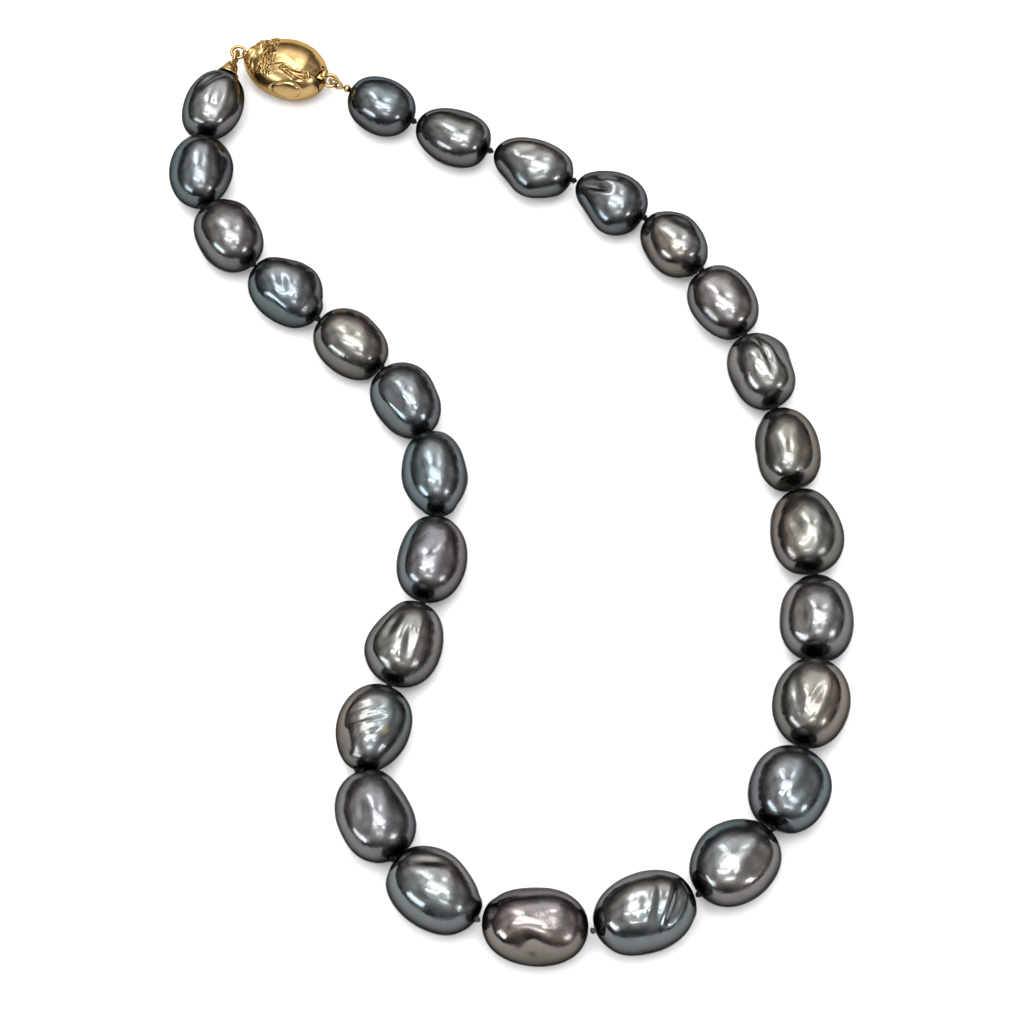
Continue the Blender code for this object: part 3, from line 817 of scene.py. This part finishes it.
def carved(name, mesh, tools):
    """The mesh after Boolean steps of (operation, tool mesh). They leave no object behind."""
    target = put(name, mesh)
    helpers = []
    for number, (operation, tool) in enumerate(tools):
        helper = put(f"tool_{number}", tool)
        helpers.append(helper)
        step = target.modifiers.new(f"step_{number}", "BOOLEAN")
        step.operation = operation
        step.object = helper
        step.solver = "EXACT"
    graph = bpy.context.evaluated_depsgraph_get()
    graph.update()
    result = bpy.data.meshes.new_from_object(target.evaluated_get(graph))
    for made in [target, *helpers]:
        bpy.data.objects.remove(made)
    return result


def torus(centre, steps, coil=0.0, coils=0):
    """A wire ring lying flat about z, as (points, faces). A coiled ring is wound like gimp wire."""
    turns, leans = (2 * math.pi * np.arange(count) / count for count in steps)
    turn, lean = np.meshgrid(turns, leans, indexing="ij")
    thick = WIRE_R * (1 - coil + coil * np.abs(np.sin(coils * turn / 2 + lean / 2)))
    reach = EYE_R + thick * np.cos(lean)
    points = np.stack([reach * np.cos(turn), reach * np.sin(turn), thick * np.sin(lean)], axis=-1)
    return points.reshape(-1, 3) + np.array(centre), ring_faces(*steps, closed=True)


def joined(name, parts):
    """One mesh of several (points, faces) shells."""
    points, faces = [], []
    for some, corners in parts:
        start = len(points)
        points.extend(np.asarray(some).tolist())
        faces.extend(tuple(start + corner for corner in face) for face in corners)
    return mesh_of(name, np.array(points), faces)


def mesh_parts(mesh):
    return mesh_points(mesh), [tuple(face.vertices) for face in mesh.polygons]


def lathe(profile, steps):
    """Points and faces turned about x from (x, radius) pairs in metres."""
    turns = 2 * math.pi * np.arange(steps) / steps
    rows = []
    for x, radius in profile:
        row = [np.full(steps, x), radius * np.cos(turns), radius * np.sin(turns)]
        rows.append(np.stack(row, axis=1))
    return np.concatenate(rows), grid_faces(len(profile), steps)


def rounded_profile(points, steps):
    """A smooth (Catmull-Rom) profile through the given points."""
    line = [np.array(point) for point in points]
    line = [2 * line[0] - line[1]] + line + [2 * line[-1] - line[-2]]
    found = []
    for a, b, c, d in zip(line, line[1:], line[2:], line[3:]):
        bend, twist = 2 * a - 5 * b + 4 * c - d, 3 * b - a - 3 * c + d
        for step in range(steps):
            t = step / steps
            found.append(0.5 * (2 * b + (c - a) * t + bend * t**2 + twist * t**3))
    found.append(line[-2])
    return found


def gold(name, rough, dark):
    """Worn, polished 18 carat gold: scratches, tarnish in clouds, darker colour in its hollows, and casting waves.
    """
    made, nodes, links, shader = new_material(name)
    place = nodes.new("ShaderNodeTexCoord").outputs["Object"]
    clouds = noise(nodes, links, place, *TARNISH_NOISE)
    shade = remap(nodes, links, clouds, *TARNISH_FADE)
    toned = mix_colours(nodes, links, shade, GOLD_TINT, scaled(GOLD_TINT, TARNISH_TONE))
    hollow = nodes.new("ShaderNodeNewGeometry").outputs["Pointiness"]
    deep = remap(nodes, links, hollow, *HOLLOW_FADE, dark, 0.0)
    final = mix_colours(nodes, links, deep, toned, scaled(GOLD_TINT, HOLLOW_TONE))
    links.new(final, shader.inputs["Base Color"])
    set_values(shader, GOLD)
    worn = noise(nodes, links, place, *WEAR_NOISE)
    gloss = remap(nodes, links, worn, *WEAR_FADE, rough, rough + WEAR)
    links.new(gloss, shader.inputs["Roughness"])
    fine = noise(nodes, links, place, *SCRATCH_NOISE)
    broad = noise(nodes, links, place, *CAST_NOISE)
    height = math_node(nodes, links, "MULTIPLY_ADD", broad, CAST_SHARE, fine)
    add_bump(nodes, links, shader, height, *GOLD_BUMP)
    return made


def place_piece(name, mesh, material, node, sharp):
    """Makes a piece for a CAD node: smooth but for edges sharper than the angle, in degrees."""
    mesh.materials.clear()
    mesh.materials.append(material)
    mesh.shade_smooth()
    mesh.set_sharp_from_angle(angle=math.radians(sharp))
    made = put(name, mesh)
    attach(made, body_of_node(node))
    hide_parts(node)


def moved_to_world(mesh, place):
    points, faces = mesh_parts(mesh)
    return mesh_of(mesh.name, place(points), faces)


def build_shell(metal):
    """The oval shell: chiselled at its pointed third and along a wavy band, polished elsewhere."""
    body = oval_mesh("shell_body", SHELL_TURNS, SHELL_RINGS, relief=True)
    tools = [("DIFFERENCE", box_mesh("below", *BELOW_FLOOR))]
    tools += [("DIFFERENCE", box_mesh("mouth", low, high)) for low, high in MOUTH_BOXES]
    body = carved("shell_body", body, tools)
    eye = torus((-EYE_X, 0.0, EYE_Z), RING_STEPS)
    points, faces = lathe([(x * MM - SHELL_HALF[0], r * MM) for x, r in COLLAR], COLLAR_STEPS)
    collar = (points + np.array([0.0, 0.0, EYE_Z - COLLAR_DROP]), faces)
    whole = joined("oval_shell", [mesh_parts(body), eye, collar])
    place_piece("oval_shell", moved_to_world(whole, clasp_place), metal, "clasp_shell", SHELL_SHARP)


def build_tongue(metal):
    """The tongue: a flat plate, the plug that fills the mouth, and the eye it carries."""
    plug = oval_mesh("plug", PLUG_TURNS, PLUG_RINGS, relief=False)
    plug = carved("plug", plug, [("INTERSECT", box_mesh("keep", *PLUG_BOX))])
    low, high = (np.array(corner) * MM for corner in PLATE_BOX)
    plate = rounded_box(low, high, PLATE_EDGE_R)
    eye = torus((EYE_X, 0.0, EYE_Z), RING_STEPS)
    whole = joined("tongue_plate", [mesh_parts(plug), plate, eye])
    place_piece("tongue_plate", moved_to_world(whole, clasp_place), metal, "clasp_tongue", SMALL_SHARP)


def rounded_box(low, high, radius, steps=4):
    """A box whose edges are rounded, as (points, faces)."""
    solid = bmesh.new()
    bmesh.ops.create_cube(solid, size=1.0)
    size = np.array(high) - np.array(low)
    middle = (np.array(high) + np.array(low)) / 2
    for vertex in solid.verts:
        vertex.co = Vector((np.array(vertex.co) * size + middle).tolist())
    edges = {"offset": radius, "segments": steps, "profile": 0.5, "affect": "EDGES"}
    bmesh.ops.bevel(solid, geom=solid.edges[:], **edges)
    mesh = bpy.data.meshes.new("rounded")
    solid.to_mesh(mesh)
    solid.free()
    return mesh_parts(mesh)


def leaf_place(points):
    """Points of the spring leaf's frame in the world: x runs along the leaf from its fold."""
    cosine, sine = math.cos(-LEAF_SLOPE), math.sin(-LEAF_SLOPE)
    x = points[:, 0] * cosine - points[:, 2] * sine
    z = points[:, 0] * sine + points[:, 2] * cosine
    return clasp_place(np.stack([x, points[:, 1], z], axis=1) + LEAF_PIVOT)


def build_spring(metal):
    """The leaf spring, rising from its fold, with the trigger's round-ended bar across its end."""
    half = LEAF_THICKNESS / 2
    low = (0.0, -LEAF_HALF_WIDTH, -half)
    leaf = rounded_box(low, (LEAF_LENGTH, LEAF_HALF_WIDTH, half), LEAF_EDGE_R)
    ends = [(-x, radius) for x, radius in KNOB_END] + list(KNOB_END[::-1])
    profile = [(x * KNOB_HALF_LENGTH, radius * KNOB_R) for x, radius in ends]
    bar, faces = lathe(profile, KNOB_STEPS)
    bar = bar[:, [1, 0, 2]] + np.array([LEAF_LENGTH, 0.0, half])
    whole = joined("spring_leaf", [leaf, (bar, faces)])
    place_piece("spring_leaf", moved_to_world(whole, leaf_place), metal, "tongue_spring", SMALL_SHARP)


def upright_ring(centre, along, steps, **coil):
    """A wire ring, as (points, faces), that stands in the plane of up and a direction."""
    points, faces = torus((0.0, 0.0, 0.0), steps, **coil)
    up = np.array([0.0, 0.0, 1.0])
    ahead = np.array(along)
    level = points[:, [0]] * ahead + points[:, [1]] * up
    return level - points[:, [2]] * np.cross(up, ahead) + np.array(centre), faces


def build_gimp(metal):
    """The loop of coiled gimp wire in the tongue's eye."""
    _, outward, _ = strand_axis(1)
    ring = upright_ring(box_middle(node_points("gimp_loop")), outward, GIMP_STEPS, **GIMP_COIL)
    place_piece("gimp_ring", mesh_of("gimp_ring", *ring), metal, "gimp_loop", GIMP_SHARP)


def build_bead(metal):
    """The small drilled bead before the first pearl."""
    _, outward, _ = strand_axis(1)
    skin = node_points("end_bead")
    radius = np.ptp(skin[:, 2]) / 2
    profile = []
    for step in range(BEAD_STEPS + 1):
        angle = BEAD_MOUTH + (math.pi - 2 * BEAD_MOUTH) * step / BEAD_STEPS
        profile.append((-radius * math.cos(angle), radius * math.sin(angle)))
    start = (profile[0][0] + BEAD_BORE_INSET, BEAD_BORE_R)
    end = (profile[-1][0] - BEAD_BORE_INSET, BEAD_BORE_R)
    points, faces = lathe([start, *profile, end], BEAD_SIDES)
    world = points @ np.array(pearl_axes(outward)).T + box_middle(skin)
    place_piece("gold_bead", mesh_of("gold_bead", world, faces), metal, "end_bead", SMALL_SHARP)


def bell():
    """The bell cap's hammered wall, as (points, faces), turned about x with its rim at x = 0."""
    outer = rounded_profile([(-h * MM, r * MM) for h, r in CAP_OUTSIDE[::-1]], CAP_OUTSIDE_STEPS)
    inner = rounded_profile([(-h * MM, r * MM) for h, r in CAP_INSIDE], CAP_INSIDE_STEPS)
    points, faces = lathe([(x, max(r, CAP_LEAST_R)) for x, r in outer + inner], CAP_SIDES)
    height = -points[:, 0] / MM
    turn = np.arctan2(points[:, 2], points[:, 1])
    dents = chips(np.stack([height, turn * CAP_MEAN_R], axis=1), *CAP_DENTS)
    radius = np.hypot(points[:, 1], points[:, 2])
    outside = np.arange(len(points)) < len(outer) * CAP_SIDES
    hammered = outside & (height > CAP_HAMMERED[0]) & (height < CAP_HAMMERED[1])
    swell = np.where(hammered, (dents - CAP_DENT_GROUND) * CAP_DENT_HEIGHT * MM, 0.0)
    points[:, 1:] *= ((radius + swell) / radius)[:, None]
    return points, faces


def build_cap(metal):
    """The bell cap over the last pearl's mouth, with the loop at its top."""
    _, outward, _ = strand_axis(27)
    mouth = np.array(Vector(KNOT_PLACES[27]))
    ahead = np.array(outward)
    rim = ((node_points("bead_cap") - mouth) @ ahead).max()
    points, faces = bell()
    world = points @ np.array(pearl_axes(outward)).T + mouth + ahead * rim
    ring = upright_ring(np.array(SHELL_EYE) + ahead * EYE_R, outward, RING_STEPS)
    whole = joined("bell_cap", [(world, faces), ring])
    place_piece("bell_cap", whole, metal, "bead_cap", CAP_SHARP)


def build_clasp():
    polished = gold("gold_polished", *POLISHED)
    plain = gold("gold_plain", *PLAIN)
    build_shell(polished)
    for build in (build_tongue, build_spring, build_gimp, build_bead, build_cap):
        build(plain)


# ---- silk
SILK_STEP = 0.06 * MM
SILK_SIDES = 24
SILK_SHARP = 60.0
# The thread's plies and the knot's windings: their length along the silk, and how deep the grooves between lie.
PLY_TWIST = 1.3 * MM
PLY_DEPTH = 0.14
KNOT_WRAP = 0.36 * MM
WRAP_DEPTH = 0.22
# Silk between these radii turns from thread into knot.
KNOT_FROM_R = 0.4284 * MM
KNOT_FULL_R = 0.546 * MM
# The thread drawn on from a knot stops this short of the next pearl's mouth, so that the knot can turn.
TIP_R = 0.30 * MM
TIP_SHORT = 0.2 * MM
PALE_SILK = (14, 16)
DARK_TINT = (0.004, 0.004, 0.005)
PALE_TINT = (0.036, 0.031, 0.028)
FIBRE_NOISE = (3200.0, 4.0, 1.5)
FIBRE_FADE = (0.3, 0.75, 0.0, 1.0)
FIBRE_TONE = 2.2
FIBRE_ROUGHNESS = (0.3, 0.7, 0.55, 0.8)
FIBRE_BUMP = (0.5, 0.04 * MM)
FIBRE = {"Specular IOR Level": 0.08, "Sheen Weight": 0.01, "Sheen Roughness": 0.4}


def silk_fibre(name, tint):
    made, nodes, links, shader = new_material(name)
    place = nodes.new("ShaderNodeTexCoord").outputs["Object"]
    strands = noise(nodes, links, place, *FIBRE_NOISE)
    worn = remap(nodes, links, strands, *FIBRE_FADE)
    colour = mix_colours(nodes, links, worn, tint, scaled(tint, FIBRE_TONE))
    links.new(colour, shader.inputs["Base Color"])
    links.new(remap(nodes, links, strands, *FIBRE_ROUGHNESS), shader.inputs["Roughness"])
    set_values(shader, FIBRE)
    add_bump(nodes, links, shader, strands, *FIBRE_BUMP)
    return made


def silk_profile(node):
    """The CAD silk's axis, as (a point on it, its direction), and its radius at sorted places along it."""
    points = node_points(node)
    line = level_spread(points)
    line /= np.linalg.norm(line)
    centre = axis_middle(points)
    reach = (points - centre) @ line
    radius = np.linalg.norm(points - centre - reach[:, None] * line, axis=1)
    order = np.argsort(reach)
    return centre, line, reach[order], radius[order]


def drawn_to_next(number, centre, line, reach, radius):
    """The silk with its axis turned to face the next pearl and its thread drawn on toward that mouth.

    Also returns how far the drawn part rises on its way there."""
    if number in FREE_ENDS:
        return line, reach, radius, 0.0
    following = number + arm_side(number)
    mouth = np.array(KNOT_PLACES[following]) - centre
    if mouth @ line < 0:
        line, reach, radius = -line, -reach[::-1], radius[::-1]
    reach = np.append(reach, [reach[-1] + SILK_STEP, mouth @ line - TIP_SHORT])
    return line, reach, np.append(radius, [TIP_R, TIP_R]), mouth[2]


def silk_thickness(along, turn, body):
    """The silk's radius over its plies, and over its windings where it is as thick as a knot."""
    knot = smooth_step(body, KNOT_FROM_R, KNOT_FULL_R)
    plies = np.abs(np.sin(1.5 * turn + math.pi * along / PLY_TWIST))
    windings = np.abs(np.sin(math.pi * along / KNOT_WRAP + turn / 2))
    ply = 1 - PLY_DEPTH + PLY_DEPTH * plies
    wrap = 1 - WRAP_DEPTH + WRAP_DEPTH * windings
    return body * (ply * (1 - knot) + wrap * knot)


def build_silk(number, fibre):
    """A three-ply thread through the pearl, and the knot beyond it wound round itself."""
    centre, line, reach, radius = silk_profile(f"silk_{number:02d}")
    line, reach, radius, rise = drawn_to_next(number, centre, line, reach, radius)
    rows = int((reach[-1] - reach[0]) / SILK_STEP) + 1
    places = np.linspace(reach[0], reach[-1], rows)
    turns = 2 * math.pi * np.arange(SILK_SIDES) / SILK_SIDES
    along, turn = np.meshgrid(places, turns, indexing="ij")
    thick = silk_thickness(along, turn, np.interp(places, reach, radius)[:, None])
    up = np.array([0.0, 0.0, 1.0])
    across = (thick * np.cos(turn))[..., None] * np.cross(up, line)
    points = centre + along[..., None] * line + across + (thick * np.sin(turn))[..., None] * up
    if rise:
        points[..., 2] += rise * smooth_step(along, reach[-3], reach[-1])
    mesh = mesh_of(f"thread_{number:02d}", points.reshape(-1, 3), grid_faces(rows, SILK_SIDES))
    place_piece(f"thread_{number:02d}", mesh, fibre, f"silk_{number:02d}", SILK_SHARP)


def build_silks():
    dark = silk_fibre("silk_dark", DARK_TINT)
    pale = silk_fibre("silk_pale", PALE_TINT)
    for number in FIRST_ARM + SECOND_ARM:
        build_silk(number, pale if number in PALE_SILK else dark)


# ---- floor, light, camera
FLOOR_HALF = 3.0
FLOOR_Z = -0.02 * MM
TABLE = {"Base Color": (0.80, 0.80, 0.80, 1.0), "Roughness": 0.9, "Specular IOR Level": 0.0}
AIM = Vector((0.00140, -0.00795, 0.006))
CAMERA_ELEVATION = math.radians(63.0)
CAMERA_DISTANCE = 0.75
CAMERA_LENS = 147.6
CAMERA_SENSOR = 36.0
CAMERA_CLIP = (0.01, 20.0)
CAMERA_ROLL = math.radians(-1.05)

# Softboxes: name, (azimuth, elevation) in degrees, distance and (width, height) in metres, power in watts, and
# colour if not white. Azimuth 0 is behind the object from the camera, and 90 at its right.
LIGHTS = (
    ("main", (200, 86), 2.0, (1.25, 0.75), 13.4),
    ("lamp_a", (215, 66), 2.0, (0.5, 0.22), 3.4),
    ("lamp_b", (150, 62), 2.0, (0.34, 0.22), 2.7),
    ("lamp_c", (178, 48), 2.0, (0.7, 0.16), 3.6),
    ("spot_a", (192, 71), 2.0, (0.09, 0.09), 1.3),
    ("spot_b", (160, 76), 2.0, (0.09, 0.09), 1.3),
    ("spot_c", (236, 62), 2.0, (0.09, 0.09), 1.3),
    ("spot_d", (128, 70), 2.0, (0.09, 0.09), 1.3),
    ("back", (-35, 60), 2.0, (0.4, 0.8), 6.72),
    ("back_right", (40, 66), 2.0, (0.25, 0.5), 3.36),
    ("ceiling_back", (-5, 50), 2.2, (2.6, 1.0), 7.56),
    ("left_window", (-128, 20), 2.0, (1.1, 0.4), 13.44, (0.86, 0.94, 1.0)),
    ("right_lamps", (135, 22), 2.0, (0.4, 0.3), 5.88),
)

# The room's light from straight below, at 0, to straight above, at 1. It varies in soft patches.
ROOM_BAND = (
    (0.0, (0.08, 0.08, 0.09)),
    (0.12, (0.05, 0.05, 0.06)),
    (0.33, (0.35, 0.305, 0.28)),
    (0.60, (0.92, 0.86, 0.83)),
    (0.80, (1.43, 1.43, 1.43)),
    (1.0, (2.2, 2.2, 2.2)),
)
PATCH_NOISE = (2.2, 1.0, 0.2)
PATCH_FADE = (0.38, 0.62, 0.5, 1.5)
PALE_ROOM = (0.98, 0.98, 0.98, 1.0)


def build_floor():
    mesh = bpy.data.meshes.new("floor")
    signs = ((-1, -1), (1, -1), (1, 1), (-1, 1))
    corners = [(x * FLOOR_HALF, y * FLOOR_HALF, FLOOR_Z) for x, y in signs]
    mesh.from_pydata(corners, [], [(0, 1, 2, 3)])
    made = put("floor", mesh)
    paper, _, _, shader = new_material("white_table")
    set_values(shader, TABLE)
    mesh.materials.append(paper)


def area_light(name, direction, distance, size, power, colour=(1.0, 1.0, 1.0)):
    light = bpy.data.lights.new(name, "AREA")
    light.shape = "RECTANGLE"
    light.size, light.size_y = size
    light.energy = power
    light.color = colour
    made = put(name, light)
    azimuth, elevation = (math.radians(value) for value in direction)
    level = math.cos(elevation)
    away = Vector((level * math.sin(azimuth), level * math.cos(azimuth), math.sin(elevation)))
    made.location = away * distance
    made.rotation_euler = away.to_track_quat("Z", "Y").to_euler()
    made.visible_camera = False


def room_light(nodes, links):
    """The room as reflections see it: a band of light by height, in patches."""
    place = nodes.new("ShaderNodeTexCoord").outputs["Generated"]
    split = nodes.new("ShaderNodeSeparateXYZ")
    links.new(place, split.inputs["Vector"])
    band = ramp(nodes, ROOM_BAND)
    links.new(split.outputs["Z"], band.inputs["Fac"])
    patches = noise(nodes, links, place, *PATCH_NOISE)
    tinted = nodes.new("ShaderNodeVectorMath")
    tinted.operation = "SCALE"
    links.new(band.outputs["Color"], tinted.inputs[0])
    links.new(remap(nodes, links, patches, *PATCH_FADE), tinted.inputs["Scale"])
    return tinted.outputs["Vector"]


def build_world():
    world = bpy.data.worlds.new("room")
    bpy.context.scene.world = world
    world.use_nodes = True
    nodes, links = world.node_tree.nodes, world.node_tree.links
    nodes.clear()
    out = nodes.new("ShaderNodeOutputWorld")
    room = nodes.new("ShaderNodeBackground")
    links.new(room_light(nodes, links), room.inputs["Color"])
    pale = nodes.new("ShaderNodeBackground")
    pale.inputs["Color"].default_value = PALE_ROOM
    seen = nodes.new("ShaderNodeLightPath").outputs["Is Camera Ray"]
    both = nodes.new("ShaderNodeMixShader")
    links.new(seen, both.inputs["Fac"])
    links.new(room.outputs["Background"], both.inputs[1])
    links.new(pale.outputs["Background"], both.inputs[2])
    links.new(both.outputs["Shader"], out.inputs["Surface"])


def build_camera():
    data = bpy.data.cameras.new("camera")
    data.sensor_width = CAMERA_SENSOR
    data.lens = CAMERA_LENS
    data.clip_start, data.clip_end = CAMERA_CLIP
    made = put("camera", data)
    back = Vector((0.0, -math.cos(CAMERA_ELEVATION), math.sin(CAMERA_ELEVATION)))
    made.location = AIM + back * CAMERA_DISTANCE
    level = back.to_track_quat("Z", "Y").to_matrix()
    made.rotation_euler = (level @ Matrix.Rotation(CAMERA_ROLL, 3, "Z")).to_euler()
    bpy.context.scene.camera = made
    bpy.context.scene.view_settings.view_transform = "Standard"


def main():
    build_camera()
    build_world()
    for light in LIGHTS:
        area_light(*light)
    build_floor()
    for number in FIRST_ARM + SECOND_ARM:
        build_pearl(number)
    build_clasp()
    build_silks()


main()
